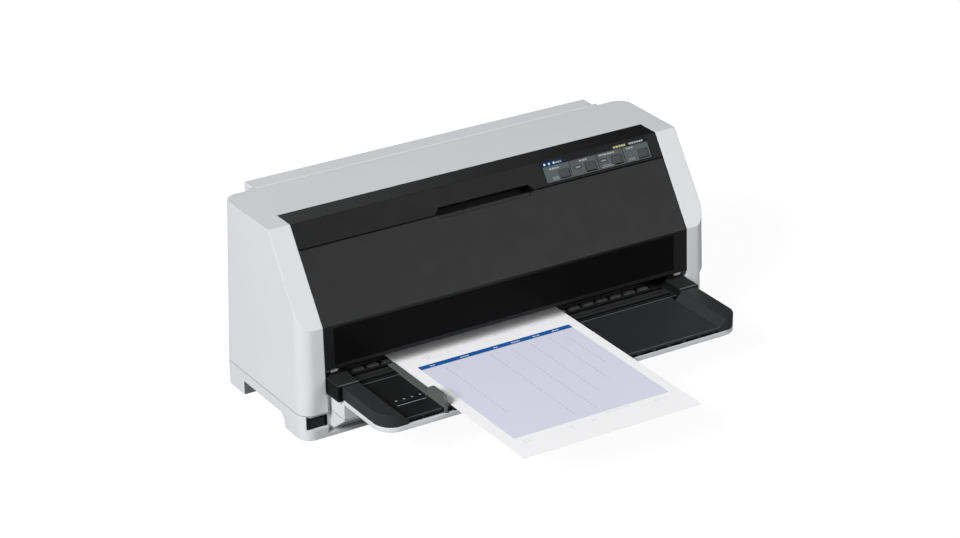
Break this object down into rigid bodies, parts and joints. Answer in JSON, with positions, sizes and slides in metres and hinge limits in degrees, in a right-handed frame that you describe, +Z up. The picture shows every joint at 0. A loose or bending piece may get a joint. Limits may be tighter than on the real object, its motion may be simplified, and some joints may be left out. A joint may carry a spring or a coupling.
{
  "type": "dot matrix printer",
  "caption": "Flatbed dot matrix printer: light shell, hinged dark front cover and rear cover, front tray with edge guide, sheet, rollers, gear train, print carriage and ribbon.",
  "frame": {"origin": "centre of the bounding box at the underside of the rubber feet", "axes": "+X the printer's right-hand side seen from the front, +Y the back, +Z up"},
  "size_m": [0.5, 0.416, 0.21],
  "materials": {
    "shell": "fine texture, light grey ABS",
    "cover_black": "fine texture, near-black ABS",
    "smoked": "smoked, glossy",
    "tray_black": "satin, near-black",
    "guide_grey": "satin, dark grey",
    "panel_grey": "printed overlay, dark grey",
    "key_grey": "satin, dark grey",
    "lamp": "clear, lit blue-white",
    "switch_black": "glossy black",
    "rubber": "matt",
    "sheet": "printed paper",
    "steel_plate": "zinc-plated sheet",
    "steel_shaft": "ground bar",
    "gear": "natural acetal",
    "motor": "dark can",
    "carriage": "black moulding",
    "head": "cast and blackened",
    "ribbon_case": "black moulding",
    "ribbon": "inked nylon",
    "lever_blue": "blue moulding",
    "belt": "toothed belt",
    "board": "solder mask with parts",
    "port": "plated shells",
    "inlet": "black moulding",
    "screw": "zinc"
  },
  "bodies": {
    "housing": {"base_case": "shell", "rubber_feet": "rubber", "upper_housing": "shell", "control_bezel": "cover_black", "key_panel": "panel_grey", "status_lamps": "lamp", "switch_body": "switch_black", "front_tray": "tray_black", "tray_underside": "shell", "tray_mounts": "tray_black", "side_frame_left": "steel_plate", "side_frame_right": "steel_plate", "chassis_pan": "steel_plate", "paper_bed": "tray_black", "feed_motor": "motor", "guide_rod": "steel_shaft", "carriage_rail": "steel_plate", "ribbon_cartridge": "ribbon_case", "ribbon_strip": "ribbon", "carriage_belt": "belt", "carriage_motor": "motor", "main_board": "board", "power_supply": "board", "mains_inlet": "inlet", "rear_ports": "port", "case_screws": "screw"},
    "cover": {"front_cover": "cover_black", "cover_window": "smoked"},
    "rear_lid": {"rear_cover": "shell"},
    "key_a": {"key_1": "key_grey"},
    "key_b": {"key_2": "key_grey"},
    "key_c": {"key_3": "key_grey"},
    "key_d": {"key_4": "key_grey"},
    "rocker": {"power_rocker": "switch_black"},
    "guide": {"edge_guide": "guide_grey"},
    "sheet": {"paper_sheet": "sheet"},
    "platen": {"platen_roller": "rubber", "platen_shaft": "steel_shaft", "platen_gear": "gear", "paper_knob": "cover_black"},
    "front_feed": {"front_feed_shaft": "steel_shaft", "front_feed_rollers": "rubber", "front_feed_gear": "gear"},
    "front_pinch": {"front_pinch_shaft": "steel_shaft", "front_pinch_rollers": "rubber"},
    "bed_row": {"bed_rollers": "rubber"},
    "rear_feed": {"rear_feed_shaft": "steel_shaft", "rear_feed_rollers": "rubber", "rear_feed_gear": "gear"},
    "rear_pinch": {"rear_pinch_shaft": "steel_shaft", "rear_pinch_rollers": "rubber"},
    "front_idler": {"front_idler_gear": "gear"},
    "rear_idler": {"rear_idler_gear": "gear"},
    "pinion": {"feed_pinion": "gear"},
    "carriage": {"print_carriage": "carriage", "print_head": "head"},
    "drive": {"drive_pulley": "gear"},
    "idler": {"idler_pulley": "gear"},
    "ribbon_winder": {"ribbon_knob": "lever_blue"},
    "lever": {"gap_lever": "lever_blue"}
  },
  "joints": [
    {"name": "cover_pivot", "type": "hinge", "parent": "housing", "child": "cover", "pos_m": [0, 0.03, 0.0705], "axis": [1, 0, 0], "range_deg": [0, 80]},
    {"name": "rear_cover_pivot", "type": "hinge", "parent": "housing", "child": "rear_lid", "pos_m": [0, 0.1886, 0.2078], "axis": [1, 0, 0], "range_deg": [0, 90]},
    {"name": "key_a_press", "type": "slide", "parent": "housing", "child": "key_a", "axis": [0, 0.822, -0.5694], "range_m": [0, 0.0008], "stiffness_N_per_m": 600, "springref_m": -0.0002},
    {"name": "key_b_press", "type": "slide", "parent": "housing", "child": "key_b", "axis": [0, 0.822, -0.5694], "range_m": [0, 0.0008], "stiffness_N_per_m": 600, "springref_m": -0.0002},
    {"name": "key_c_press", "type": "slide", "parent": "housing", "child": "key_c", "axis": [0, 0.822, -0.5694], "range_m": [0, 0.0008], "stiffness_N_per_m": 600, "springref_m": -0.0002},
    {"name": "key_d_press", "type": "slide", "parent": "housing", "child": "key_d", "axis": [0, 0.822, -0.5694], "range_m": [0, 0.0008], "stiffness_N_per_m": 600, "springref_m": -0.0002},
    {"name": "rocker_tilt", "type": "hinge", "parent": "housing", "child": "rocker", "pos_m": [-0.23275, 0.031, 0.02], "axis": [0, 0, 1], "range_deg": [0, 14]},
    {"name": "edge_guide_slide", "type": "slide", "parent": "housing", "child": "guide", "axis": [1, 0, 0], "range_m": [-0.034, 0]},
    {"name": "sheet_feed", "type": "slide", "parent": "housing", "child": "sheet", "axis": [0, 1, 0], "range_m": [-0.04, 0.045]},
    {"name": "platen_spin", "type": "hinge", "parent": "housing", "child": "platen", "pos_m": [0, 0.0895, 0.0445], "axis": [1, 0, 0], "continuous": true},
    {"name": "front_feed_spin", "type": "hinge", "parent": "housing", "child": "front_feed", "pos_m": [0, 0.064, 0.0485], "axis": [1, 0, 0], "continuous": true},
    {"name": "bed_rollers_spin", "type": "hinge", "parent": "housing", "child": "bed_row", "pos_m": [0, 0.043, 0.052], "axis": [1, 0, 0], "continuous": true},
    {"name": "rear_feed_spin", "type": "hinge", "parent": "housing", "child": "rear_feed", "pos_m": [0, 0.115, 0.0485], "axis": [1, 0, 0], "continuous": true},
    {"name": "front_pinch_spin", "type": "hinge", "parent": "housing", "child": "front_pinch", "pos_m": [0, 0.064, 0.0649], "axis": [1, 0, 0], "continuous": true},
    {"name": "rear_pinch_spin", "type": "hinge", "parent": "housing", "child": "rear_pinch", "pos_m": [0, 0.115, 0.0649], "axis": [1, 0, 0], "continuous": true},
    {"name": "front_idler_spin", "type": "hinge", "parent": "housing", "child": "front_idler", "pos_m": [0, 0.07609, 0.0638], "axis": [1, 0, 0], "continuous": true},
    {"name": "rear_idler_spin", "type": "hinge", "parent": "housing", "child": "rear_idler", "pos_m": [0, 0.10291, 0.0638], "axis": [1, 0, 0], "continuous": true},
    {"name": "pinion_spin", "type": "hinge", "parent": "housing", "child": "pinion", "pos_m": [0, 0.13061, 0.03599], "axis": [1, 0, 0], "continuous": true},
    {"name": "carriage_travel", "type": "slide", "parent": "housing", "child": "carriage", "axis": [1, 0, 0], "range_m": [0, 0.26]},
    {"name": "drive_pulley_spin", "type": "hinge", "parent": "housing", "child": "drive", "pos_m": [0.178, 0.123, 0.121], "axis": [0, 1, 0], "range_deg": [-1700, 10]},
    {"name": "idler_pulley_spin", "type": "hinge", "parent": "housing", "child": "idler", "pos_m": [-0.178, 0.123, 0.121], "axis": [0, 1, 0], "range_deg": [-1700, 10]},
    {"name": "ribbon_knob_spin", "type": "hinge", "parent": "housing", "child": "ribbon_winder", "pos_m": [-0.17, 0.046, 0.1], "axis": [0, 0, 1], "continuous": true},
    {"name": "gap_lever_tilt", "type": "hinge", "parent": "housing", "child": "lever", "pos_m": [-0.211, 0.064, 0.086], "axis": [1, 0, 0], "range_deg": [-30, 0]}
  ],
  "couplings": [
    {"joint": "front_feed_spin", "follows": "platen_spin", "ratio": 1.4444},
    {"joint": "rear_feed_spin", "follows": "platen_spin", "ratio": 1.4444},
    {"joint": "front_pinch_spin", "follows": "platen_spin", "ratio": -2},
    {"joint": "rear_pinch_spin", "follows": "platen_spin", "ratio": -2},
    {"joint": "bed_rollers_spin", "follows": "platen_spin", "ratio": 2.3636},
    {"joint": "front_idler_spin", "follows": "platen_spin", "ratio": -1.2381},
    {"joint": "rear_idler_spin", "follows": "platen_spin", "ratio": -1.2381},
    {"joint": "pinion_spin", "follows": "platen_spin", "ratio": -1.1818},
    {"joint": "drive_pulley_spin", "follows": "carriage_travel", "rad_per_m": -100},
    {"joint": "idler_pulley_spin", "follows": "carriage_travel", "rad_per_m": -100}
  ]
}
